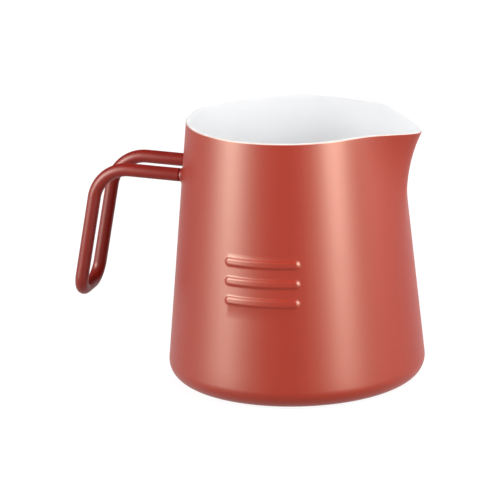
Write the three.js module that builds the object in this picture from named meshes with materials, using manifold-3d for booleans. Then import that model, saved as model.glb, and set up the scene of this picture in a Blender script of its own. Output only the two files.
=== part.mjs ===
// Small steel milk jug: a drawn body that narrows upwards, with a pouring lip pressed into its rim, a white
// inner lining, and a handle bent from one rod and carried on two welded bosses.
// Millimetres, +Z up, +X towards the pouring lip. The origin is the middle of the foot, on the table.
import * as THREE from "three";
import { mergeVertices } from "three/addons/utils/BufferGeometryUtils.js";
import Module from "manifold-3d";

const wasm = await Module();
wasm.setup();

const { degToRad } = THREE.MathUtils;

// Body
const FOOT_RADIUS = 45; // where the wall's line, carried down, meets the table
const RIM_RADIUS = 36.3;
const BODY_HEIGHT = 90.9;
const FOOT_CORNER = 6.1; // outer radius between base and wall
const STEEL_THICKNESS = 0.8;
const LINING_THICKNESS = 0.2;

// Pouring lip, pressed outwards at angle 0
const LIP_REACH = 9.6; // how far the tip stands out from the round rim
const LIP_DIP = 2.3; // how far the tip sits below the rim
const LIP_DEPTH = 44.2; // height of wall that the pressing pulls on
const LIP_HALF_ANGLE = degToRad(43.6); // at the rim
const LIP_ROOT_HALF_ANGLE = degToRad(14.8); // where the lip begins, low on the wall
const LIP_SPREAD_POWER = 1.43; // how late the lip widens on its way up
const LIP_SWING_POWER = 2.52; // how late the wall swings out on its way up
const LIP_FLANK_POWER = 2.39; // how hollow the flanks are
const LIP_NOSE = 0.17; // roundness of the nose, as a share of the half angle

// Raised level ribs on the right-hand wall
const RIB_COUNT = 3;
const RIB_LENGTH = 24;
const RIB_WIDTH = 2.6;
const RIB_PROUD = 0.6;
const RIB_PITCH = 6.6;
const RIB_TOP_HEIGHT = 50;
const RIB_ANGLE = degToRad(-90);

// Handle rod, on the side away from the lip
const ROD_DIAMETER = 4.6;
const ROD_SPACING = 19.1; // between the centrelines of the two arms
const ARM_HEIGHT = 71.1; // where the arms leave the wall
const ARM_RISE = degToRad(2.3);
const ARM_LENGTH = 30.2; // from the wall to the corner of the arm and leg lines
const SHOULDER_RADIUS = 13;
const LEG_FLARE = degToRad(10.9); // outwards from the vertical
const LEG_END_HEIGHT = 32.9; // where the legs begin to bend towards each other
const FOOT_BEND_RADIUS = 6.3;

// Bosses that carry the rod ends
const BOSS_LENGTH = 1; // from the wall to the shoulder, along the rod
const BOSS_FLARE = 1.5; // fillet radius towards the wall
const SPIGOT_DIAMETER = 2.4;
const SPIGOT_LENGTH = 6;
const SPIGOT_CLEARANCE = 0.2; // around the spigot and past its end
const SEAT_GAP = 0.3; // between the boss and the wall, and at the seam of boss and rod

// Fineness of the round forms
const BODY_SEGMENTS = 72;
const CORNER_STEPS = 6;
const LIP_ROWS = 9;
const ROD_SIDES = 16;
const SHOULDER_STEPS = 8;
const FOOT_BEND_STEPS = 6;
const FLARE_STEPS = 4;
const RIB_CAP_STEPS = 3;
const RIB_SIDES = 10;
const RIB_STEPS = 8;

// Angle of the wall from the vertical, and the height where the lip begins
const TAPER = Math.atan((FOOT_RADIUS - RIM_RADIUS) / BODY_HEIGHT);
const LIP_START = BODY_HEIGHT - LIP_DEPTH;
const ROD_RADIUS = ROD_DIAMETER / 2;
const SPIGOT_RADIUS = SPIGOT_DIAMETER / 2;

// Wall radius at a height, on the surface that lies a depth inside the outer face.
function wallRadius(height, depth = 0) {
  return FOOT_RADIUS - height * Math.tan(TAPER) - depth / Math.cos(TAPER);
}

// Points of a circular arc in a profile plane.
function arc(centreX, centreY, radius, from, to, steps) {
  return Array.from({ length: steps + 1 }, (_, i) => {
    const angle = from + ((to - from) * i) / steps;
    return new THREE.Vector2(centreX + radius * Math.cos(angle), centreY + radius * Math.sin(angle));
  });
}

// A closed geometry as a solid for cutting and joining: shared corners merged, collapsed triangles left out.
function toSolid(geometry) {
  const bare = geometry.clone();
  bare.deleteAttribute("normal");
  bare.deleteAttribute("uv");
  const merged = mergeVertices(bare);
  const corners = merged.index.array;
  const triangles = [];
  for (let i = 0; i < corners.length; i += 3) {
    const [a, b, c] = corners.slice(i, i + 3);
    if (a !== b && b !== c && c !== a) triangles.push(a, b, c);
  }
  const vertProperties = merged.attributes.position.array;
  return new wasm.Manifold(new wasm.Mesh({ numProp: 3, vertProperties, triVerts: new Uint32Array(triangles) }));
}

function toGeometry(solid) {
  const { vertProperties, triVerts } = solid.getMesh();
  const geometry = new THREE.BufferGeometry();
  geometry.setAttribute("position", new THREE.BufferAttribute(vertProperties, 3));
  geometry.setIndex(new THREE.BufferAttribute(triVerts, 1));
  geometry.computeVertexNormals();
  return geometry;
}

// Revolves a profile of (radius, height) points about the Z axis.
function revolve(profile, segments) {
  return new THREE.LatheGeometry(profile, segments).rotateX(Math.PI / 2);
}

// Share of the lip's pull at a place across it: 1 on the nose, 0 from the flank's edge outwards.
function lipSection(across) {
  const drop = (Math.hypot(across, LIP_NOSE) - LIP_NOSE) / (Math.hypot(1, LIP_NOSE) - LIP_NOSE);
  return Math.max(0, 1 - drop) ** LIP_FLANK_POWER;
}

// Pulls the upper wall outwards and a little down, as the press does, fading out sideways and downwards.
function pressLip(geometry) {
  const position = geometry.attributes.position;
  for (let i = 0; i < position.count; i++) {
    const [x, y, z] = [position.getX(i), position.getY(i), position.getZ(i)];
    const radius = Math.hypot(x, y);
    const rise = (z - LIP_START) / LIP_DEPTH;
    if (rise <= 0 || radius === 0) continue;
    const widening = (LIP_HALF_ANGLE - LIP_ROOT_HALF_ANGLE) * rise ** LIP_SPREAD_POWER;
    const across = Math.abs(Math.atan2(y, x)) / (LIP_ROOT_HALF_ANGLE + widening);
    const pull = rise ** LIP_SWING_POWER * lipSection(across);
    const stretch = 1 + (LIP_REACH * pull) / radius;
    position.setXYZ(i, x * stretch, y * stretch, z - LIP_DIP * pull);
  }
  return geometry;
}

// The jug as if filled solid, up to the surface that lies a depth inside the outer face. A rise carries it on
// above the rim, for use as a cutter.
function filledJug(depth, rise = 0) {
  const cornerX = FOOT_RADIUS - (FOOT_CORNER * (1 + Math.sin(TAPER))) / Math.cos(TAPER);
  const profile = [new THREE.Vector2(0, depth)];
  profile.push(...arc(cornerX, FOOT_CORNER, FOOT_CORNER - depth, -Math.PI / 2, TAPER, CORNER_STEPS));
  for (let row = 0; row <= LIP_ROWS; row++) {
    const height = LIP_START + (LIP_DEPTH * row) / LIP_ROWS;
    profile.push(new THREE.Vector2(wallRadius(height, depth), height));
  }
  const top = BODY_HEIGHT + rise;
  if (rise > 0) profile.push(new THREE.Vector2(wallRadius(top, depth), top));
  profile.push(new THREE.Vector2(0, top));
  return toSolid(pressLip(revolve(profile, BODY_SEGMENTS)));
}

// One rib: a flattened capsule wrapped round the wall, half of it sunk into the steel.
function levelRib(height) {
  const straight = RIB_LENGTH - RIB_WIDTH;
  const rib = new THREE.CapsuleGeometry(RIB_WIDTH / 2, straight, RIB_CAP_STEPS, RIB_SIDES, RIB_STEPS);
  const position = rib.attributes.position;
  for (let i = 0; i < position.count; i++) {
    const outwards = position.getX(i) / (RIB_WIDTH / 2);
    const z = height + position.getZ(i);
    const radius = wallRadius(z) + outwards * (outwards > 0 ? RIB_PROUD : STEEL_THICKNESS / 2);
    const angle = RIB_ANGLE + position.getY(i) / wallRadius(height);
    position.setXYZ(i, radius * Math.cos(angle), radius * Math.sin(angle), z);
  }
  return toSolid(rib);
}

function jugShell() {
  let shell = filledJug(0).subtract(filledJug(STEEL_THICKNESS, STEEL_THICKNESS));
  for (let i = 0; i < RIB_COUNT; i++) {
    shell = shell.add(levelRib(RIB_TOP_HEIGHT - i * RIB_PITCH));
  }
  return toGeometry(shell);
}

function innerLining() {
  const inside = filledJug(STEEL_THICKNESS + LINING_THICKNESS, STEEL_THICKNESS);
  return toGeometry(filledJug(STEEL_THICKNESS).subtract(inside));
}

// Directions in the handle's own plane, which holds -X and Z.
const ARM_WAY = new THREE.Vector3(-Math.cos(ARM_RISE), 0, Math.sin(ARM_RISE));
const LEG_WAY = new THREE.Vector3(-Math.sin(LEG_FLARE), 0, -Math.cos(LEG_FLARE));
const SHOULDER_TURN = Math.PI / 2 + ARM_RISE - LEG_FLARE;

// A point on an arm's centreline, a distance out from where the line leaves the wall. Side is -1 or 1 along Y.
function armPoint(side, distance) {
  const offset = ROD_SPACING / 2;
  const wallX = -Math.sqrt(wallRadius(ARM_HEIGHT) ** 2 - offset ** 2);
  return new THREE.Vector3(wallX, side * offset, ARM_HEIGHT).addScaledVector(ARM_WAY, distance);
}

// Points of a bend that starts in one direction and turns towards another, which is square to it.
function bend(start, along, towards, radius, turn, steps) {
  return Array.from({ length: steps + 1 }, (_, i) => {
    const angle = (turn * i) / steps;
    return start
      .clone()
      .addScaledVector(along, radius * Math.sin(angle))
      .addScaledVector(towards, radius * (1 - Math.cos(angle)));
  });
}

// Half of the rod's centreline: along the arm, round the shoulder, down the leg and round to the cross-bar.
function halfCentreline(side) {
  const tangent = SHOULDER_RADIUS * Math.tan(SHOULDER_TURN / 2);
  const inwards = new THREE.Vector3(-Math.sin(ARM_RISE), 0, -Math.cos(ARM_RISE));
  const shoulderStart = armPoint(side, ARM_LENGTH - tangent);
  const shoulder = bend(shoulderStart, ARM_WAY, inwards, SHOULDER_RADIUS, SHOULDER_TURN, SHOULDER_STEPS);
  const legStart = shoulder.at(-1);
  const legEnd = legStart.clone().addScaledVector(LEG_WAY, (LEG_END_HEIGHT - legStart.z) / LEG_WAY.z);
  const middle = new THREE.Vector3(0, -side, 0);
  const footBend = bend(legEnd, LEG_WAY, middle, FOOT_BEND_RADIUS, Math.PI / 2, FOOT_BEND_STEPS);
  return [armPoint(side, BOSS_LENGTH + SEAT_GAP), ...shoulder, ...footBend];
}

// A line through given points, with one step from each point to the next.
class PointLine extends THREE.Curve {
  constructor(points) {
    super();
    this.points = points;
  }

  getPoint(t, target = new THREE.Vector3()) {
    const place = t * (this.points.length - 1);
    const first = Math.min(Math.floor(place), this.points.length - 2);
    return target.lerpVectors(this.points[first], this.points[first + 1], place - first);
  }

  getUtoTmapping(u) {
    return u;
  }
}

// Turns a geometry made along +Y so that it runs out along an arm, and puts its start at a point.
function alongArm(geometry, start) {
  const turn = new THREE.Quaternion().setFromUnitVectors(new THREE.Vector3(0, 1, 0), ARM_WAY);
  return geometry.applyQuaternion(turn).translate(start.x, start.y, start.z);
}

function handleRod() {
  const points = [...halfCentreline(-1), ...halfCentreline(1).reverse()];
  const section = new THREE.Shape().setFromPoints(arc(0, 0, ROD_RADIUS, 0, 2 * Math.PI, ROD_SIDES).slice(1));
  const extrudePath = new PointLine(points);
  let rod = toSolid(new THREE.ExtrudeGeometry(section, { extrudePath, steps: points.length - 1 }));
  for (const side of [-1, 1]) {
    const radius = SPIGOT_RADIUS + SPIGOT_CLEARANCE;
    const length = SPIGOT_LENGTH + SPIGOT_CLEARANCE;
    const bore = new THREE.CylinderGeometry(radius, radius, length, ROD_SIDES).translate(0, length / 2, 0);
    rod = rod.subtract(toSolid(alongArm(bore, armPoint(side, BOSS_LENGTH))));
  }
  return toGeometry(rod);
}

// A boss: a flared collar cut to the wall, with a spigot that fills the rod's bore.
function handleBoss(side) {
  const footRadius = ROD_RADIUS + BOSS_FLARE;
  const sunk = -footRadius;
  const flare = arc(footRadius, BOSS_LENGTH, BOSS_FLARE, -Math.PI / 2, -Math.PI, FLARE_STEPS);
  const profile = [
    new THREE.Vector2(0, sunk),
    new THREE.Vector2(footRadius, sunk),
    ...flare,
    new THREE.Vector2(SPIGOT_RADIUS, BOSS_LENGTH),
    new THREE.Vector2(SPIGOT_RADIUS, BOSS_LENGTH + SPIGOT_LENGTH),
    new THREE.Vector2(0, BOSS_LENGTH + SPIGOT_LENGTH),
  ];
  const boss = alongArm(new THREE.LatheGeometry(profile, ROD_SIDES), armPoint(side, 0));
  return toGeometry(toSolid(boss).subtract(filledJug(-SEAT_GAP)));
}

const bodyCoat = new THREE.MeshStandardMaterial({ color: 0xb54a3a, roughness: 0.42, metalness: 0.3 });
const handleCoat = new THREE.MeshStandardMaterial({ color: 0x9c3a34, roughness: 0.38, metalness: 0.3 });
const bossCoat = new THREE.MeshStandardMaterial({ color: 0xa84238, roughness: 0.42, metalness: 0.3 });
const whiteCoat = new THREE.MeshStandardMaterial({ color: 0xf2f2f0, roughness: 0.35, metalness: 0 });

function piece(name, geometry, material) {
  const mesh = new THREE.Mesh(geometry, material);
  mesh.name = name;
  return mesh;
}

const jug = new THREE.Group();
jug.add(piece("jug_shell", jugShell(), bodyCoat));
jug.add(piece("inner_lining", innerLining(), whiteCoat));

const handle = new THREE.Group();
handle.add(piece("handle_rod", handleRod(), handleCoat));
handle.add(piece("handle_boss_right", handleBoss(-1), bossCoat));
handle.add(piece("handle_boss_left", handleBoss(1), bossCoat.clone()));
jug.add(handle);

export default jug;
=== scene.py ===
"""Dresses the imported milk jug.

Smooth skins stand for the solids: a tapered shell with a pressed pouring lip and raised level ribs, a
white lining that wraps over the rim, a handle bent from one rod, and the two flared bosses that carry it.
Every finish is procedural, and a plain studio with a pale floor lights the jug.
"""

from __future__ import annotations

import logging
import math
from collections.abc import Callable, Sequence
from dataclasses import dataclass, field
from enum import Enum

import bmesh
import bpy
from mathutils import Matrix, Vector

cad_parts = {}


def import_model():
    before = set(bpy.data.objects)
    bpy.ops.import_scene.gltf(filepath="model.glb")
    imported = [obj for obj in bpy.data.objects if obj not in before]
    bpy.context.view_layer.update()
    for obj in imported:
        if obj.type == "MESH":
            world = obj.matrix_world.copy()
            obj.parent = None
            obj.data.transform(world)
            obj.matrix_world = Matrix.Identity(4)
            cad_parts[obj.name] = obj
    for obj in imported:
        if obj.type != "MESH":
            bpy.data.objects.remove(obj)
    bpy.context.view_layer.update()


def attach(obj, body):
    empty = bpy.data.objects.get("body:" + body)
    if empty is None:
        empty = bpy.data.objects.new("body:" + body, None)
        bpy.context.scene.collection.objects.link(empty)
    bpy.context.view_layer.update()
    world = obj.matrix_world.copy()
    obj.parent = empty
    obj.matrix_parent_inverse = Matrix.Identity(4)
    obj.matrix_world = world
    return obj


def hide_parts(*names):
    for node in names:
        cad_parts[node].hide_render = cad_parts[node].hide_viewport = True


log = logging.getLogger("milk_jug")

MM = 0.001
BODY = "root"
UP = Vector((0.0, 0.0, 1.0))

Colour = tuple[float, float, float]
Point2 = tuple[float, float]


class Slot(Enum):
    """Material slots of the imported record."""

    BODY_COAT = "body_coat"
    HANDLE_COAT = "handle_coat"
    WHITE_LINING = "white_lining"


class Side(Enum):
    """The two sides of the handle, as a sign along Y. The right one faces the camera."""

    RIGHT = -1
    LEFT = 1


# Measured form of the jug


@dataclass(frozen=True)
class PouringLip:
    """The lip pressed into the rim at angle 0.

    The press pulls the upper wall outwards and a little down. The pull grows towards the rim and fades to the
    sides, where the flanks are hollow.
    """

    reach: float = 9.6 * MM
    dip: float = 2.3 * MM
    depth: float = 44.2 * MM
    half_angle: float = math.radians(43.6)
    root_half_angle: float = math.radians(14.8)
    spread_power: float = 1.43
    swing_power: float = 2.52
    flank_power: float = 2.39
    nose: float = 0.17

    def section(self, across: float) -> float:
        """Gives the share of the pull at a place across the lip.

        Args:
            across: distance from the nose as a share of the half angle.

        Returns:
            1 on the nose, 0 from the edge of the flank outwards.
        """
        drop = math.hypot(across, self.nose) - self.nose
        full_drop = math.hypot(1.0, self.nose) - self.nose
        return max(0.0, 1.0 - drop / full_drop) ** self.flank_power

    def press(self, point: Vector, rim_height: float) -> Vector:
        """Moves a point of the plain round jug to where the press leaves it.

        Args:
            point: a point of the round body.
            rim_height: height of the rim above the foot.

        Returns:
            The pressed point.
        """
        rise = (point.z - rim_height + self.depth) / self.depth
        radius = math.hypot(point.x, point.y)
        if rise <= 0.0 or radius < MM:
            return point.copy()
        widening = (self.half_angle - self.root_half_angle) * rise**self.spread_power
        across = abs(math.atan2(point.y, point.x)) / (self.root_half_angle + widening)
        pull = rise**self.swing_power * self.section(across)
        stretch = 1.0 + self.reach * pull / radius
        return Vector((point.x * stretch, point.y * stretch, point.z - self.dip * pull))


@dataclass(frozen=True)
class JugForm:
    """The tapered body, before and after its lip is pressed."""

    foot_radius: float = 45.0 * MM
    rim_radius: float = 36.3 * MM
    height: float = 90.9 * MM
    foot_corner: float = 6.1 * MM
    steel: float = 0.8 * MM
    lining: float = 0.2 * MM
    lip: PouringLip = field(default_factory=PouringLip)

    @property
    def taper(self) -> float:
        """Angle of the wall from the vertical."""
        return math.atan((self.foot_radius - self.rim_radius) / self.height)

    @property
    def corner_centre(self) -> Point2:
        """Centre of the foot corner's arc, as radius and height."""
        reach = self.foot_corner * (1.0 + math.sin(self.taper)) / math.cos(self.taper)
        return self.foot_radius - reach, self.foot_corner

    @property
    def wall_foot(self) -> float:
        """Height where the corner's arc runs into the straight wall."""
        return self.foot_corner * (1.0 + math.sin(self.taper))

    def wall_radius(self, height: float, depth: float = 0.0) -> float:
        """Gives the wall's radius.

        Args:
            height: height above the foot.
            depth: how far inside the outer face, measured square to it.

        Returns:
            The radius at that height and depth.
        """
        return self.foot_radius - height * math.tan(self.taper) - depth / math.cos(self.taper)

    def corner(self, depth: float, steps: int) -> list[Point2]:
        """Gives the foot corner from the base up to the wall.

        Args:
            depth: how far inside the outer face.
            steps: number of stretches along the arc.

        Returns:
            Profile points as radius and height.
        """
        return arc(self.corner_centre, self.foot_corner - depth, -math.pi / 2, self.taper, steps)

    def wall(self, heights: Sequence[float], depth: float) -> list[Point2]:
        """Gives wall points at the given heights and depth, as radius and height."""
        return [(self.wall_radius(height, depth), height) for height in heights]

    def press(self, point: Vector) -> Vector:
        """Moves a point of the round body to where the lip's press leaves it."""
        return self.lip.press(point, self.height)


def arc(centre: Point2, radius: float, start: float, end: float, steps: int) -> list[Point2]:
    """Gives points along an arc in a profile.

    Args:
        centre: centre as radius and height.
        radius: radius of the arc.
        start: first angle in radians.
        end: last angle in radians.
        steps: number of stretches along the arc.

    Returns:
        One point more than there are steps.
    """
    angles = spaced(start, end, steps)
    return [(centre[0] + radius * math.cos(a), centre[1] + radius * math.sin(a)) for a in angles]


def spaced(start: float, end: float, steps: int) -> list[float]:
    """Gives evenly spaced values from start to end, both included."""
    return [start + (end - start) * i / steps for i in range(steps + 1)]


def smooth_fall(value: float, start: float, end: float) -> float:
    """Falls smoothly from 1 at start to 0 at end."""
    share = min(1.0, max(0.0, (value - start) / (end - start)))
    return 1.0 - share * share * (3.0 - 2.0 * share)


# Hand modelling


@dataclass(frozen=True)
class Turn:
    """One stretch of a spin: how far it turns, in degrees, and in how many steps."""

    degrees: float
    steps: int


class Workpiece:
    """One mesh under way, modelled with edit-mode operators as by hand.

    The object stays at the origin, so its place is in its mesh. The last made edge or ring stays selected,
    and the next operator works on that.
    """

    SEED_SIZE = 1.0 * MM
    WELD = 0.0005 * MM

    def __init__(self, name: str) -> None:
        """Takes over the active object, names it and opens it for editing."""
        self.obj = bpy.context.active_object
        self.obj.name = name
        self.obj.data.name = name
        bpy.ops.object.mode_set(mode="EDIT")
        bpy.ops.mesh.select_mode(type="VERT")
        bpy.ops.mesh.select_all(action="SELECT")

    @staticmethod
    def release() -> None:
        """Leaves edit mode and deselects everything."""
        if bpy.context.mode != "OBJECT":
            bpy.ops.object.mode_set(mode="OBJECT")
        bpy.ops.object.select_all(action="DESELECT")

    @classmethod
    def from_point(cls, name: str, at: Vector) -> Workpiece:
        """Starts a piece from one point.

        Args:
            name: name of the piece.
            at: place of the point.

        Returns:
            The piece, with its point selected.
        """
        cls.release()
        bpy.ops.mesh.primitive_plane_add(size=cls.SEED_SIZE)
        piece = cls(name)
        bpy.ops.mesh.merge(type="CENTER")
        bpy.ops.mesh.select_all(action="SELECT")
        bpy.ops.transform.translate(value=at)
        return piece

    @classmethod
    def from_ring(cls, name: str, centre: Vector, normal: Vector, radius: float, count: int) -> Workpiece:
        """Starts a piece from an open ring.

        Args:
            name: name of the piece.
            centre: centre of the ring.
            normal: direction that the ring faces.
            radius: radius of the ring.
            count: number of points on it.

        Returns:
            The piece, with its ring selected.
        """
        cls.release()
        turn = normal.to_track_quat("Z", "Y").to_euler()
        bpy.ops.mesh.primitive_circle_add(vertices=count, radius=radius, location=centre, rotation=turn)
        bpy.ops.object.transform_apply(location=True, rotation=True, scale=True)
        return cls(name)

    def draw(self, points: Sequence[Vector]) -> None:
        """Extrudes the selected point along the rest of a line.

        Args:
            points: the line, starting at the selected point.
        """
        for here, there in zip(points, points[1:]):
            self.extrude(there - here)

    def extrude(self, step: Vector) -> None:
        """Extrudes what is selected by a step."""
        bpy.ops.mesh.extrude_region_move(TRANSFORM_OT_translate={"value": step})

    def spin(self, turns: Sequence[Turn], centre: Vector, axis: Vector) -> None:
        """Spins what is selected about an axis, one stretch after another.

        Args:
            turns: stretches of the spin.
            centre: a point on the axis.
            axis: direction of the axis; the spin is right-handed about it.
        """
        for turn in turns:
            # The operator turns left-handed about its axis.
            angle = -math.radians(turn.degrees)
            bpy.ops.mesh.spin(steps=turn.steps, angle=angle, center=centre, axis=axis)

    def reshape(self, place: Callable[[Vector], Vector], selected_only: bool = False) -> None:
        """Moves points by a rule.

        Args:
            place: gives a point's new place from its old one.
            selected_only: leaves out what isn't selected.
        """
        mesh = bmesh.from_edit_mesh(self.obj.data)
        for vertex in mesh.verts:
            if vertex.select or not selected_only:
                vertex.co = place(vertex.co)
        bmesh.update_edit_mesh(self.obj.data)

    def mark(self, name: str, rule: Callable[[Vector], float]) -> None:
        """Writes a value on every point, for a finish to read.

        Args:
            name: name of the attribute.
            rule: gives a point's value from its place.
        """
        mesh = bmesh.from_edit_mesh(self.obj.data)
        layer = mesh.verts.layers.float.new(name)
        for vertex in mesh.verts:
            vertex[layer] = rule(vertex.co)
        bmesh.update_edit_mesh(self.obj.data)

    def cap(self) -> None:
        """Closes the selected ring with a face."""
        bpy.ops.mesh.edge_face_add()

    def select_near(self, point: Vector, reach: float) -> None:
        """Selects only the points within a reach of a place.

        Args:
            point: the place.
            reach: largest distance from it.
        """
        bpy.ops.mesh.select_all(action="DESELECT")
        mesh = bmesh.from_edit_mesh(self.obj.data)
        for vertex in mesh.verts:
            vertex.select = (vertex.co - point).length <= reach
        mesh.select_flush(True)
        bmesh.update_edit_mesh(self.obj.data)

    def weld(self) -> None:
        """Merges doubled points and turns all faces outwards."""
        bpy.ops.mesh.select_all(action="SELECT")
        bpy.ops.mesh.remove_doubles(threshold=self.WELD)
        bpy.ops.mesh.normals_make_consistent(inside=False)

    def finish(self, crease: float) -> bpy.types.Object:
        """Closes the piece and shades it smooth.

        Args:
            crease: angle in degrees above which an edge stays sharp.

        Returns:
            The finished object.
        """
        self.release()
        self.obj.select_set(True)
        bpy.context.view_layer.objects.active = self.obj
        bpy.ops.object.shade_smooth_by_angle(angle=math.radians(crease))
        self.release()
        return self.obj


def dress(obj: bpy.types.Object, node: str, slot: Slot, material: bpy.types.Material) -> bpy.types.Object:
    """Gives a piece its finish and puts it in the place of a CAD node.

    Args:
        obj: the finished piece.
        node: name of the node that it stands for.
        slot: the record's material slot; not used.
        material: its finish.

    Returns:
        The same object.
    """
    obj.data.materials.clear()
    obj.data.materials.append(material)
    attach(obj, BODY)
    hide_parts(node)
    log.info("%s: %d faces, stands for %s", obj.name, len(obj.data.polygons), node)
    return obj


# Finishes


class NodeSheet:
    """A node tree with short ways to add and join nodes."""

    NOISE_LOW = 0.3
    NOISE_HIGH = 0.7

    def __init__(self, tree: bpy.types.NodeTree) -> None:
        """Keeps the tree."""
        self.tree = tree

    def add(self, kind: str, **settings: object) -> bpy.types.Node:
        """Adds a node.

        Args:
            kind: Blender's name of the node type.
            settings: properties of the node.

        Returns:
            The new node.
        """
        node = self.tree.nodes.new(kind)
        for name, value in settings.items():
            setattr(node, name, value)
        return node

    def join(self, source: bpy.types.NodeSocket, target: bpy.types.NodeSocket) -> None:
        """Links two sockets."""
        self.tree.links.new(source, target)

    def noise(self, place: bpy.types.NodeSocket, size: float, detail: float) -> bpy.types.NodeSocket:
        """Adds a noise pattern.

        Args:
            place: coordinates to read.
            size: size of the pattern's patches, in metres.
            detail: number of finer layers.

        Returns:
            The pattern's value, around 0.5.
        """
        node = self.add("ShaderNodeTexNoise")
        node.inputs["Scale"].default_value = 1.0 / size
        node.inputs["Detail"].default_value = detail
        self.join(place, node.inputs["Vector"])
        return node.outputs["Fac"]

    def spread(self, value: bpy.types.NodeSocket, low: float, high: float) -> bpy.types.NodeSocket:
        """Maps the middle range of a noise onto new limits.

        Args:
            value: a noise value.
            low: result for the noise's low patches.
            high: result for the noise's high patches.

        Returns:
            The mapped value.
        """
        node = self.add("ShaderNodeMapRange")
        node.inputs["From Min"].default_value = self.NOISE_LOW
        node.inputs["From Max"].default_value = self.NOISE_HIGH
        node.inputs["To Min"].default_value = low
        node.inputs["To Max"].default_value = high
        self.join(value, node.inputs["Value"])
        return node.outputs["Result"]

    def maths(self, operation: str, first: object, second: object) -> bpy.types.NodeSocket:
        """Adds a sum of two values, each a socket or a number.

        Args:
            operation: Blender's name of the operation.
            first: first value.
            second: second value.

        Returns:
            The result.
        """
        node = self.add("ShaderNodeMath", operation=operation)
        for socket, value in zip(node.inputs, (first, second)):
            if isinstance(value, bpy.types.NodeSocket):
                self.join(value, socket)
            else:
                socket.default_value = value
        return node.outputs["Value"]


class SprayedCoat:
    """Shader node group of a sprayed and baked coat.

    It gives a colour that drifts a little from place to place and turns pale pink on the rim's outer
    rounding, a painted highlight, a roughness with fine matt specks, and the height of the coat's fine peel.
    """

    NAME = "SprayedCoat"
    # Names the attribute that masks the painted highlight on the rim's outer rounding.
    EDGE = "painted_rim_highlight"
    DRIFT_SIZE = 14.0 * MM
    DRIFT_DETAIL = 2.0
    SPECK_SIZE = 0.35 * MM
    SPECK_DETAIL = 3.0
    FLOW_SIZE = 2.6 * MM
    FLOW_DETAIL = 1.0

    @classmethod
    def group(cls) -> bpy.types.NodeTree:
        """Builds the group once.

        Returns:
            The shader node group.
        """
        known = bpy.data.node_groups.get(cls.NAME)
        if known is not None:
            return known
        tree = bpy.data.node_groups.new(cls.NAME, "ShaderNodeTree")
        cls._sockets(tree)
        sheet = NodeSheet(tree)
        given = sheet.add("NodeGroupInput")
        place = sheet.add("ShaderNodeTexCoord").outputs["Object"]
        drift = sheet.noise(place, cls.DRIFT_SIZE, cls.DRIFT_DETAIL)
        speck = sheet.noise(place, cls.SPECK_SIZE, cls.SPECK_DETAIL)
        flow = sheet.noise(place, cls.FLOW_SIZE, cls.FLOW_DETAIL)
        result = sheet.add("NodeGroupOutput")
        tint = sheet.add("ShaderNodeMix", data_type="RGBA")
        sheet.join(sheet.spread(drift, 0.0, 1.0), tint.inputs["Factor"])
        sheet.join(given.outputs["Colour"], tint.inputs["A"])
        sheet.join(given.outputs["Drift Colour"], tint.inputs["B"])
        # Mixes in the pale pink of the painted rim highlight.
        glint_mask = sheet.add("ShaderNodeAttribute", attribute_name=cls.EDGE)
        edge = sheet.add("ShaderNodeMix", data_type="RGBA")
        sheet.join(glint_mask.outputs["Fac"], edge.inputs["Factor"])
        sheet.join(tint.outputs["Result"], edge.inputs["A"])
        sheet.join(given.outputs["Rim Highlight Colour"], edge.inputs["B"])
        sheet.join(edge.outputs["Result"], result.inputs["Colour"])
        swing = sheet.maths("MULTIPLY", sheet.spread(speck, -1.0, 1.0), given.outputs["Speck"])
        matt = sheet.maths("ADD", given.outputs["Roughness"], swing)
        sheet.join(matt, result.inputs["Roughness"])
        fine = sheet.maths("MULTIPLY", speck, given.outputs["Grain"])
        sheet.join(sheet.maths("ADD", flow, fine), result.inputs["Height"])
        return tree

    @staticmethod
    def _sockets(tree: bpy.types.NodeTree) -> None:
        """Adds the group's named inputs and outputs."""
        face = tree.interface
        face.new_socket("Colour", in_out="INPUT", socket_type="NodeSocketColor")
        face.new_socket("Drift Colour", in_out="INPUT", socket_type="NodeSocketColor")
        face.new_socket("Rim Highlight Colour", in_out="INPUT", socket_type="NodeSocketColor")
        for name in ("Roughness", "Speck", "Grain"):
            face.new_socket(name, in_out="INPUT", socket_type="NodeSocketFloat")
        face.new_socket("Colour", in_out="OUTPUT", socket_type="NodeSocketColor")
        for name in ("Roughness", "Height"):
            face.new_socket(name, in_out="OUTPUT", socket_type="NodeSocketFloat")


@dataclass(frozen=True)
class CoatFinish:
    """A sprayed coat: its colours, gloss and peel."""

    name: str
    colour: Colour
    drift_colour: Colour
    roughness: float
    specular: float
    specular_tint: Colour = (1.0, 1.0, 1.0)
    # Pale pink painted on the rim's outer rounding: a painted highlight.
    rim_highlight_colour: Colour = (1.0, 1.0, 1.0)
    speck: float = 0.03
    grain: float = 0.35
    peel: float = 0.012 * MM

    def material(self) -> bpy.types.Material:
        """Builds the material.

        Returns:
            A procedural material on Object coordinates.
        """
        material = bpy.data.materials.new(self.name)
        material.use_nodes = True
        sheet = NodeSheet(material.node_tree)
        shader = material.node_tree.nodes["Principled BSDF"]
        coat = sheet.add("ShaderNodeGroup", node_tree=SprayedCoat.group())
        coat.inputs["Colour"].default_value = (*self.colour, 1.0)
        coat.inputs["Drift Colour"].default_value = (*self.drift_colour, 1.0)
        coat.inputs["Rim Highlight Colour"].default_value = (*self.rim_highlight_colour, 1.0)
        coat.inputs["Roughness"].default_value = self.roughness
        coat.inputs["Speck"].default_value = self.speck
        coat.inputs["Grain"].default_value = self.grain
        sheet.join(coat.outputs["Colour"], shader.inputs["Base Color"])
        sheet.join(coat.outputs["Roughness"], shader.inputs["Roughness"])
        bump = sheet.add("ShaderNodeBump")
        bump.inputs["Distance"].default_value = self.peel
        sheet.join(coat.outputs["Height"], bump.inputs["Height"])
        sheet.join(bump.outputs["Normal"], shader.inputs["Normal"])
        shader.inputs["Specular IOR Level"].default_value = self.specular
        shader.inputs["Specular Tint"].default_value = (*self.specular_tint, 1.0)
        return material


# Pieces


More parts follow.
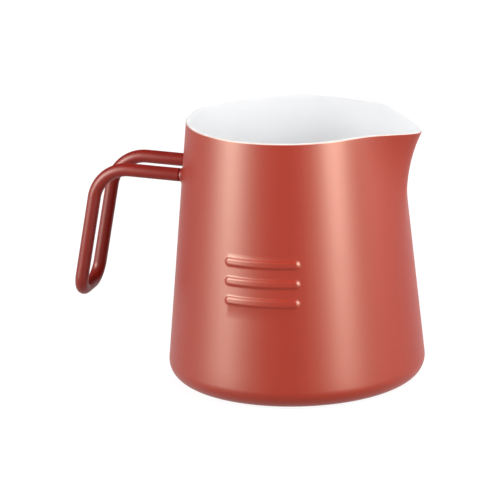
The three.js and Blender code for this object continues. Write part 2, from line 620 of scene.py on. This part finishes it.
@dataclass(frozen=True)
class LevelRibs:
    """Raised ribs pressed into the right-hand wall, one above the other."""

    count: int = 3
    length: float = 27.0 * MM
    crest: float = 0.7 * MM
    skirt: float = 1.8 * MM
    proud: float = 0.5 * MM
    pitch: float = 6.6 * MM
    top_height: float = 50.0 * MM
    angle: float = math.radians(-90.0)

    @property
    def low(self) -> float:
        """Height where the lowest rib's skirt ends."""
        return self.top_height - (self.count - 1) * self.pitch - self.skirt

    @property
    def high(self) -> float:
        """Height where the topmost rib's skirt ends."""
        return self.top_height + self.skirt

    def lift(self, along: float, height: float) -> float:
        """Gives how far the wall is pushed out.

        Args:
            along: distance along the wall from the ribs' middle.
            height: height above the foot.

        Returns:
            The push at that place.
        """
        row = round((self.top_height - height) / self.pitch)
        spine = self.top_height - min(self.count - 1, max(0, row)) * self.pitch
        past_end = max(0.0, abs(along) - self.length / 2 + self.skirt)
        return self.proud * smooth_fall(math.hypot(past_end, height - spine), self.crest, self.skirt)


@dataclass
class JugBody:
    """The shell and its lining."""

    form: JugForm
    ribs: LevelRibs = field(default_factory=LevelRibs)
    rim_round: float = 0.48 * MM
    coat_edge: float = math.radians(50.0)
    skin_gap: float = 0.05 * MM
    corner_steps: int = 16
    wall_step: float = 5.0 * MM
    lip_step: float = 1.3 * MM
    rib_step: float = 0.27 * MM
    rim_steps: int = 4

    SHELL_START = -112.0
    SHELL_TURNS = (Turn(44.0, 88), Turn(22.0, 9), Turn(92.0, 92), Turn(202.0, 81))
    LINING_START = -46.0
    LINING_TURNS = (Turn(92.0, 92), Turn(268.0, 108))
    CREASE = 40.0

    def heights(self, low: float, high: float, step: float) -> list[float]:
        """Gives evenly spaced heights about a step apart, both ends included."""
        return spaced(low, high, max(1, round((high - low) / step)))

    def outer_heights(self) -> list[float]:
        """Gives the outer wall's rows, closer together over the ribs than elsewhere.

        Returns:
            Heights above the foot, from just above the corner to the rim's rounding.
        """
        low = self.heights(self.form.wall_foot, self.ribs.low, self.wall_step)
        ribs = self.heights(self.ribs.low, self.ribs.high, self.rib_step)
        lip = self.heights(self.ribs.high, self.form.height - self.rim_round, self.lip_step)
        return low[1:] + ribs[1:] + lip[1:]

    def inner_heights(self, top: float) -> list[float]:
        """Gives an inner wall's rows, from the foot corner up to a given top."""
        return [self.form.height - self.form.lip.depth, *self.lip_heights(top)]

    def lip_heights(self, top: float) -> list[float]:
        """Gives the rows that the lip bends, from its root up to a given top."""
        return self.heights(self.form.height - self.form.lip.depth, top, self.lip_step)[1:]

    @property
    def rim_centre(self) -> Point2:
        """Centre of the rim's rounded edge, as radius and height."""
        height = self.form.height - self.rim_round
        return self.form.wall_radius(height, (self.form.steel + self.form.lining) / 2), height

    @property
    def rim_half(self) -> float:
        """Half the thickness of the wall at the rim."""
        return (self.form.steel + self.form.lining) / 2 / math.cos(self.form.taper)

    def rim_arc(self, start: float, end: float, steps: int) -> list[Point2]:
        """Gives a stretch of the rim's rounded edge.

        Args:
            start: first angle, 0 on the outer side and pi on the inner side.
            end: last angle.
            steps: number of stretches along the edge.

        Returns:
            Profile points as radius and height.
        """
        radius, height = self.rim_centre
        return [
            (radius + self.rim_half * math.cos(a), height + self.rim_round * math.sin(a))
            for a in spaced(start, end, steps)
        ]

    def shell_profile(self) -> list[Point2]:
        """Gives the red shell's closed profile.

        Returns:
            Points from the base, round the rim's outer edge, to the inner floor.
        """
        form = self.form
        seam = self.rim_arc(0.0, self.coat_edge, self.rim_steps)
        inner = form.wall(self.inner_heights(seam[-1][1]), form.steel)
        return [
            (0.0, 0.0),
            *form.corner(0.0, self.corner_steps),
            *form.wall(self.outer_heights(), 0.0)[:-1],
            *seam,
            *reversed(inner),
            *reversed(form.corner(form.steel, self.corner_steps // 2)),
            (0.0, form.steel),
        ]

    def lining_profile(self) -> list[Point2]:
        """Gives the white lining's closed profile.

        Returns:
            Points from the inner floor up, over the rim, and back underneath.
        """
        form = self.form
        inside = form.steel + form.lining
        under = form.steel + self.skin_gap
        edge = self.rim_arc(self.coat_edge, math.pi, 3 * self.rim_steps)
        lift = edge[0][1] + self.skin_gap
        return [
            (0.0, inside),
            *form.corner(inside, self.corner_steps),
            *form.wall(self.inner_heights(edge[-1][1])[:-1], inside),
            *reversed(edge),
            *reversed(form.wall(self.inner_heights(lift), under)),
            *reversed(form.corner(under, self.corner_steps // 2)),
            (0.0, under),
        ]

    def revolve(self, name: str, profile: Sequence[Point2], start: float, turns: Sequence[Turn]) -> Workpiece:
        """Draws a profile and spins it round the jug's axis.

        Args:
            name: name of the piece.
            profile: points as radius and height.
            start: angle of the drawn profile, in degrees.
            turns: stretches of the spin, a full turn together.

        Returns:
            The welded piece, open for editing.
        """
        facing = Vector((math.cos(math.radians(start)), math.sin(math.radians(start)), 0.0))
        line = [facing * radius + UP * height for radius, height in profile]
        piece = Workpiece.from_point(name, line[0])
        piece.draw(line)
        bpy.ops.mesh.select_all(action="SELECT")
        piece.spin(turns, Vector(), UP)
        piece.weld()
        return piece

    def raise_ribs(self, point: Vector) -> Vector:
        """Pushes a point of the outer wall out where a rib is.

        Args:
            point: a point of the round body.

        Returns:
            Its place on the ribbed wall, or the same point off the ribs.
        """
        radius = math.hypot(point.x, point.y)
        outer = self.form.wall_radius(point.z)
        if not self.ribs.low <= point.z <= self.ribs.high or radius < outer - self.form.steel / 2:
            return point
        along = (math.atan2(point.y, point.x) - self.ribs.angle) * outer
        stretch = 1.0 + self.ribs.lift(along, point.z) / radius
        return Vector((point.x * stretch, point.y * stretch, point.z))

    def rim_highlight_share(self, point: Vector) -> float:
        """Gives how strongly the rim's outer rounding is tinted pale pink, a painted highlight.

        Args:
            point: a point of the unpressed body.

        Returns:
            1 halfway up the rounding, falling to 0 at the wall and at the crown.
        """
        radius, height = self.rim_centre
        out = (math.hypot(point.x, point.y) - radius) / self.rim_half
        up = (point.z - height) / self.rim_round
        return 2.0 * max(0.0, out) * max(0.0, up)

    def build_shell(self) -> bpy.types.Object:
        """Models the red shell: spun, ribs raised, lip pressed.

        Returns:
            The finished shell.
        """
        piece = self.revolve("jug_shell_skin", self.shell_profile(), self.SHELL_START, self.SHELL_TURNS)
        # Paints a pale pink highlight onto the rim's outer rounding.
        piece.mark(SprayedCoat.EDGE, self.rim_highlight_share)
        piece.reshape(self.raise_ribs)
        piece.reshape(self.form.press)
        return piece.finish(self.CREASE)

    def build_lining(self) -> bpy.types.Object:
        """Models the white lining: spun and pressed with the shell.

        Returns:
            The finished lining.
        """
        piece = self.revolve("inner_lining_skin", self.lining_profile(), self.LINING_START, self.LINING_TURNS)
        # Paints a pale pink highlight onto the rim's outer rounding.
        piece.mark(SprayedCoat.EDGE, self.rim_highlight_share)
        piece.reshape(self.form.press)
        return piece.finish(self.CREASE)


@dataclass
class RodHandle:
    """The bent rod and the two bosses that carry it."""

    form: JugForm
    rod_radius: float = 2.3 * MM
    spacing: float = 19.1 * MM
    arm_height: float = 71.1 * MM
    arm_rise: float = math.radians(2.3)
    arm_length: float = 30.2 * MM
    shoulder_radius: float = 13.0 * MM
    leg_flare: float = math.radians(10.9)
    leg_end: float = 32.9 * MM
    foot_bend: float = 6.3 * MM
    boss_length: float = 0.5 * MM
    boss_flare: float = 1.5 * MM
    seam: float = 0.3 * MM
    spigot_radius: float = 1.5 * MM
    sunk: float = 0.1 * MM
    end_round: float = 0.25 * MM
    sides: int = 40
    flare_steps: int = 8

    SHOULDER_STEPS = 30
    FOOT_STEPS = 20
    END_STEPS = 3
    END_GRASP = 1.05
    WALL_TRIES = 6
    CREASE = 40.0

    @property
    def arm_way(self) -> Vector:
        """Direction of the arms, away from the body."""
        return Vector((-math.cos(self.arm_rise), 0.0, math.sin(self.arm_rise)))

    @property
    def leg_way(self) -> Vector:
        """Direction of the legs, downwards."""
        return Vector((-math.sin(self.leg_flare), 0.0, -math.cos(self.leg_flare)))

    @property
    def shoulder_turn(self) -> float:
        """Angle that the rod turns through at the shoulder, in degrees."""
        return 90.0 + math.degrees(self.arm_rise - self.leg_flare)

    def arm_point(self, side: Side, distance: float) -> Vector:
        """Gives a point on an arm's centreline.

        Args:
            side: which arm.
            distance: how far out from where the line leaves the wall.

        Returns:
            The point.
        """
        offset = self.spacing / 2
        wall_x = -math.sqrt(self.form.wall_radius(self.arm_height) ** 2 - offset**2)
        return Vector((wall_x, side.value * offset, self.arm_height)) + self.arm_way * distance

    def build_rod(self) -> bpy.types.Object:
        """Models the rod: a ring extruded along each straight and spun round each bend.

        Returns:
            The finished rod.
        """
        tangent = self.shoulder_radius * math.tan(math.radians(self.shoulder_turn / 2))
        out = self.boss_length + self.seam
        inwards = Vector((-math.sin(self.arm_rise), 0.0, -math.cos(self.arm_rise)))
        across = Vector((0.0, 1.0, 0.0))
        start = self.arm_point(Side.RIGHT, out)
        shoulder = self.arm_point(Side.RIGHT, self.arm_length - tangent)
        corner = self.arm_point(Side.RIGHT, self.arm_length)
        leg_start = corner + self.leg_way * tangent
        leg_end = leg_start + self.leg_way * ((self.leg_end - leg_start.z) / self.leg_way.z)
        bar = across * (self.spacing - 2 * self.foot_bend)
        bend_axis = self.leg_way.cross(across)
        right_centre = shoulder + inwards * self.shoulder_radius
        left_centre = right_centre + across * self.spacing
        shoulder_turns = [Turn(self.shoulder_turn, self.SHOULDER_STEPS)]
        foot_turns = [Turn(90.0, self.FOOT_STEPS)]

        piece = Workpiece.from_ring("handle_rod_skin", start, self.arm_way, self.rod_radius, self.sides)
        piece.extrude(shoulder - start)
        piece.spin(shoulder_turns, right_centre, -across)
        piece.extrude(leg_end - leg_start)
        piece.spin(foot_turns, leg_end + across * self.foot_bend, bend_axis)
        piece.extrude(bar)
        piece.spin(foot_turns, leg_end + across * self.foot_bend + bar, bend_axis)
        piece.extrude(leg_start - leg_end)
        piece.spin(shoulder_turns, left_centre, across)
        piece.extrude(start - shoulder)
        self.round_end(piece, self.arm_point(Side.LEFT, out))
        self.round_end(piece, start)
        piece.weld()
        return piece.finish(self.CREASE)

    def round_end(self, piece: Workpiece, centre: Vector) -> None:
        """Closes a rod end and rounds its edge.

        Args:
            piece: the rod under way.
            centre: centre of the open end.
        """
        piece.select_near(centre, self.rod_radius * self.END_GRASP)
        piece.cap()
        bpy.ops.mesh.bevel(offset=self.end_round, segments=self.END_STEPS, affect="EDGES")

    def wall_distance(self, side: Side, across: float, above: float) -> float:
        """Finds the wall along a line beside an arm's centreline.

        Args:
            side: which arm.
            across: offset of the line along Y.
            above: offset of the line, square to the arm and upwards.

        Returns:
            Distance along the arm's direction, 0 where the centreline leaves the wall.
        """
        base = self.arm_point(side, 0.0)
        y = base.y + across
        distance = 0.0
        for _ in range(self.WALL_TRIES):
            z = base.z + above * math.cos(self.arm_rise) + distance * math.sin(self.arm_rise)
            wall_x = -math.sqrt(self.form.wall_radius(z) ** 2 - y * y)
            distance = (base.x + above * math.sin(self.arm_rise) - wall_x) / math.cos(self.arm_rise)
        return distance

    def build_boss(self, side: Side) -> bpy.types.Object:
        """Models a boss: spigot, shoulder and a collar that flares onto the wall.

        Args:
            side: which arm it carries.

        Returns:
            The finished boss.
        """
        way = self.arm_way
        upwards = Vector((math.sin(self.arm_rise), 0.0, math.cos(self.arm_rise)))
        base = self.arm_point(side, 0.0)
        tip = self.arm_point(side, self.boss_length + self.seam)
        name = f"handle_boss_{side.name.lower()}_skin"
        piece = Workpiece.from_ring(name, tip, way, self.spigot_radius, self.sides)
        piece.cap()
        piece.extrude(way * -self.seam)

        def ring(radius: float, share: float) -> Callable[[Vector], Vector]:
            """Gives the rule that puts the selected ring on the collar.

            Args:
                radius: radius of the ring.
                share: how far it lies from the shoulder, 0, to the wall, 1.

            Returns:
                The rule from a point's old place to its new one.
            """

            def place(point: Vector) -> Vector:
                """Gives a point's place on the ring.

                Args:
                    point: a point of the extruded ring.

                Returns:
                    Its place on the collar.
                """
                offset = point - base
                flat = Vector((offset.y, offset.dot(upwards))).normalized() * radius
                wall = self.wall_distance(side, flat.x, flat.y) - self.sunk
                along = self.boss_length + (wall - self.boss_length) * share
                return base + Vector((0.0, flat.x, 0.0)) + upwards * flat.y + way * along

            return place

        for quarter in spaced(0.0, math.pi / 2, self.flare_steps):
            radius = self.rod_radius + self.boss_flare * (1.0 - math.cos(quarter))
            piece.extrude(Vector())
            piece.reshape(ring(radius, math.sin(quarter)), selected_only=True)
        piece.cap()
        piece.weld()
        return piece.finish(self.CREASE)


# Studio


class Lighting(Enum):
    """What a lamp is for: even light on matt colour, or a streak in a coat's gloss."""

    SOFT = "soft"
    STREAK = "streak"


@dataclass(frozen=True)
class Softbox:
    """A rectangular studio lamp that faces the jug."""

    name: str
    lighting: Lighting
    azimuth: float
    elevation: float
    distance: float
    width: float
    height: float
    power: float

    def place(self, aim: Vector) -> bpy.types.Object:
        """Adds the lamp.

        Args:
            aim: point that it faces.

        Returns:
            The lamp object.
        """
        back = view_way(self.azimuth, self.elevation)
        turn = back.to_track_quat("Z", "Y").to_euler()
        Workpiece.release()
        bpy.ops.object.light_add(type="AREA", location=aim + back * self.distance, rotation=turn)
        lamp = bpy.context.active_object
        lamp.name = self.name
        lamp.data.shape = "RECTANGLE"
        lamp.data.size = self.width
        lamp.data.size_y = self.height
        lamp.data.energy = self.power
        lamp.visible_camera = False
        lamp.visible_diffuse = self.lighting is Lighting.SOFT
        lamp.visible_glossy = self.lighting is Lighting.STREAK
        return lamp


def view_way(azimuth: float, elevation: float) -> Vector:
    """Gives the direction from the jug towards a viewer.

    Args:
        azimuth: degrees from -Y towards +X.
        elevation: degrees above the horizon.

    Returns:
        A unit vector.
    """
    a = math.radians(azimuth)
    e = math.radians(elevation)
    return Vector((math.sin(a) * math.cos(e), -math.cos(a) * math.cos(e), math.sin(e)))


@dataclass
class Studio:
    """Pale floor, soft lamps and an even surround."""

    aim: Vector
    floor_size: float = 12.0
    floor_drop: float = 0.05 * MM
    floor_colour: Colour = (0.15, 0.15, 0.15)
    floor_white: float = 0.9
    floor_glow: float = 0.2
    surround: float = 0.1
    lamps: tuple[Softbox, ...] = (
        Softbox("left_strip", Lighting.STREAK, -50.0, 14.0, 1.2, 0.42, 0.7, 44.0),
        Softbox("right_strip", Lighting.STREAK, 58.8, 14.0, 0.7, 0.11, 0.4, 12.0),
        Softbox("far_right_strip", Lighting.STREAK, 102.5, 18.0, 0.7, 0.17, 0.47, 3.0),
        Softbox("left_softbox", Lighting.SOFT, -65.0, 20.0, 0.8, 0.3, 0.3, 1.75),
        Softbox("high_left_softbox", Lighting.SOFT, -45.0, 40.0, 0.8, 0.3, 0.3, 1.9),
        Softbox("front_softbox", Lighting.SOFT, -5.0, 20.0, 0.8, 0.3, 0.3, 1.8),
        Softbox("right_softbox", Lighting.SOFT, 75.0, 20.0, 0.8, 0.3, 0.3, 1.6),
        Softbox("high_right_softbox", Lighting.SOFT, 75.0, 40.0, 0.8, 0.3, 0.3, 3.0),
        Softbox("low_right_softbox", Lighting.SOFT, 100.0, 4.0, 0.8, 0.3, 0.3, 1.3),
        Softbox("back_softbox", Lighting.SOFT, 185.0, 35.0, 0.8, 0.3, 0.3, 2.8),
        Softbox("top_softbox", Lighting.SOFT, -60.0, 82.0, 0.8, 0.3, 0.3, 0.8),
    )

    def seen_directly(self, sheet: NodeSheet) -> bpy.types.NodeSocket:
        """Adds a mask of the rays that show the background.

        Args:
            sheet: the node tree to add it to.

        Returns:
            1 for camera, glossy and transmission rays, otherwise 0.
        """
        path = sheet.add("ShaderNodeLightPath")
        shown = sheet.maths("MAXIMUM", path.outputs["Is Camera Ray"], path.outputs["Is Glossy Ray"])
        return sheet.maths("MAXIMUM", shown, path.outputs["Is Transmission Ray"])

    def build_floor(self) -> bpy.types.Object:
        """Lays the floor: matt, lifted to white where it is seen, and still showing the jug's shadow.

        Returns:
            The floor object.
        """
        Workpiece.release()
        bpy.ops.mesh.primitive_plane_add(size=self.floor_size, location=(0.0, 0.0, -self.floor_drop))
        floor = bpy.context.active_object
        floor.name = "studio_floor"
        material = bpy.data.materials.new("pale_floor")
        material.use_nodes = True
        sheet = NodeSheet(material.node_tree)
        shader = material.node_tree.nodes["Principled BSDF"]
        shader.inputs["Base Color"].default_value = (*self.floor_colour, 1.0)
        shader.inputs["Roughness"].default_value = 1.0
        shader.inputs["Specular IOR Level"].default_value = 0.0
        shader.inputs["Emission Color"].default_value = (1.0, 1.0, 1.0, 1.0)
        lift = sheet.maths("MULTIPLY", self.seen_directly(sheet), self.floor_white - self.floor_glow)
        strength = sheet.maths("ADD", lift, self.floor_glow)
        sheet.join(strength, shader.inputs["Emission Strength"])
        floor.data.materials.append(material)
        return floor

    def build_surround(self) -> None:
        """Sets the world to an even pale grey."""
        world = bpy.data.worlds.new("studio_surround")
        world.use_nodes = True
        background = world.node_tree.nodes["Background"]
        background.inputs["Color"].default_value = (1.0, 1.0, 1.0, 1.0)
        background.inputs["Strength"].default_value = self.surround
        bpy.context.scene.world = world

    def build(self) -> None:
        """Sets up floor, surround and lamps."""
        self.build_floor()
        self.build_surround()
        for lamp in self.lamps:
            lamp.place(self.aim)
            log.info("lamp %s placed", lamp.name)
        bpy.context.scene.view_settings.view_transform = "Standard"


@dataclass(frozen=True)
class PhotoCamera:
    """The photograph's view, for a square picture."""

    aim: Vector
    azimuth: float = 16.69
    elevation: float = 15.94
    distance: float = 1.3123
    lens: float = 273.95
    sensor: float = 36.0
    turn_left: float = 0.6735
    tilt_down: float = 0.0665
    roll: float = -1.21
    sight: float = 100.0

    def build(self) -> bpy.types.Object:
        """Adds the camera and makes it the scene's own.

        Returns:
            The camera object.
        """
        Workpiece.release()
        bpy.ops.object.camera_add()
        camera = bpy.context.active_object
        camera.name = "photo_camera"
        back = view_way(self.azimuth, self.elevation)
        facing = back.to_track_quat("Z", "Y").to_matrix()
        roll = Matrix.Rotation(math.radians(self.roll), 3, "Z")
        turn = Matrix.Rotation(math.radians(self.turn_left), 3, "Y")
        tilt = Matrix.Rotation(math.radians(-self.tilt_down), 3, "X")
        camera.location = self.aim + back * self.distance
        camera.rotation_euler = (facing @ roll @ turn @ tilt).to_euler()
        camera.data.lens = self.lens
        camera.data.sensor_width = self.sensor
        camera.data.clip_end = self.sight
        bpy.context.scene.camera = camera
        return camera


# Assembly

# Pale pink painted on the rim's outer rounding of shell and lining: a painted highlight where the rim catches
# the light.
PAINTED_RIM_HIGHLIGHT = (0.87, 0.72, 0.67)
BODY_COAT = CoatFinish(
    name="satin_red_coat",
    colour=(0.375, 0.012, 0.001),
    drift_colour=(0.385, 0.014, 0.002),
    roughness=0.43,
    specular=0.55,
    specular_tint=(1.0, 0.88, 0.7),
    rim_highlight_colour=PAINTED_RIM_HIGHLIGHT,
)
# The body's red made darker for the rod and bosses: painted shade standing in for the shadow the lamps don't
# cast on the handle.
HANDLE_COAT = CoatFinish(
    name="satin_red_rod_coat_painted_shade",
    colour=(0.265, 0.01, 0.005),
    drift_colour=(0.275, 0.012, 0.006),
    roughness=0.46,
    specular=0.34,
    specular_tint=(1.0, 0.88, 0.78),
)
WHITE_LINING = CoatFinish(
    name="satin_white_lining",
    colour=(0.88, 0.883, 0.89),
    drift_colour=(0.89, 0.893, 0.9),
    roughness=0.4,
    specular=0.5,
    rim_highlight_colour=PAINTED_RIM_HIGHLIGHT,
)


def main() -> None:
    """Builds camera, jug, handle and studio in order."""
    logging.basicConfig(level=logging.INFO, format="%(name)s: %(message)s")
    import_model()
    form = JugForm()
    middle = UP * (form.height / 2)
    PhotoCamera(middle).build()

    body = JugBody(form)
    dress(body.build_shell(), "jug_shell", Slot.BODY_COAT, BODY_COAT.material())
    dress(body.build_lining(), "inner_lining", Slot.WHITE_LINING, WHITE_LINING.material())

    handle = RodHandle(form)
    rod_coat = HANDLE_COAT.material()
    dress(handle.build_rod(), "handle_rod", Slot.HANDLE_COAT, rod_coat)
    for side in Side:
        dress(handle.build_boss(side), f"handle_boss_{side.name.lower()}", Slot.HANDLE_COAT, rod_coat)

    Studio(middle).build()


if __name__ == "__main__":
    main()
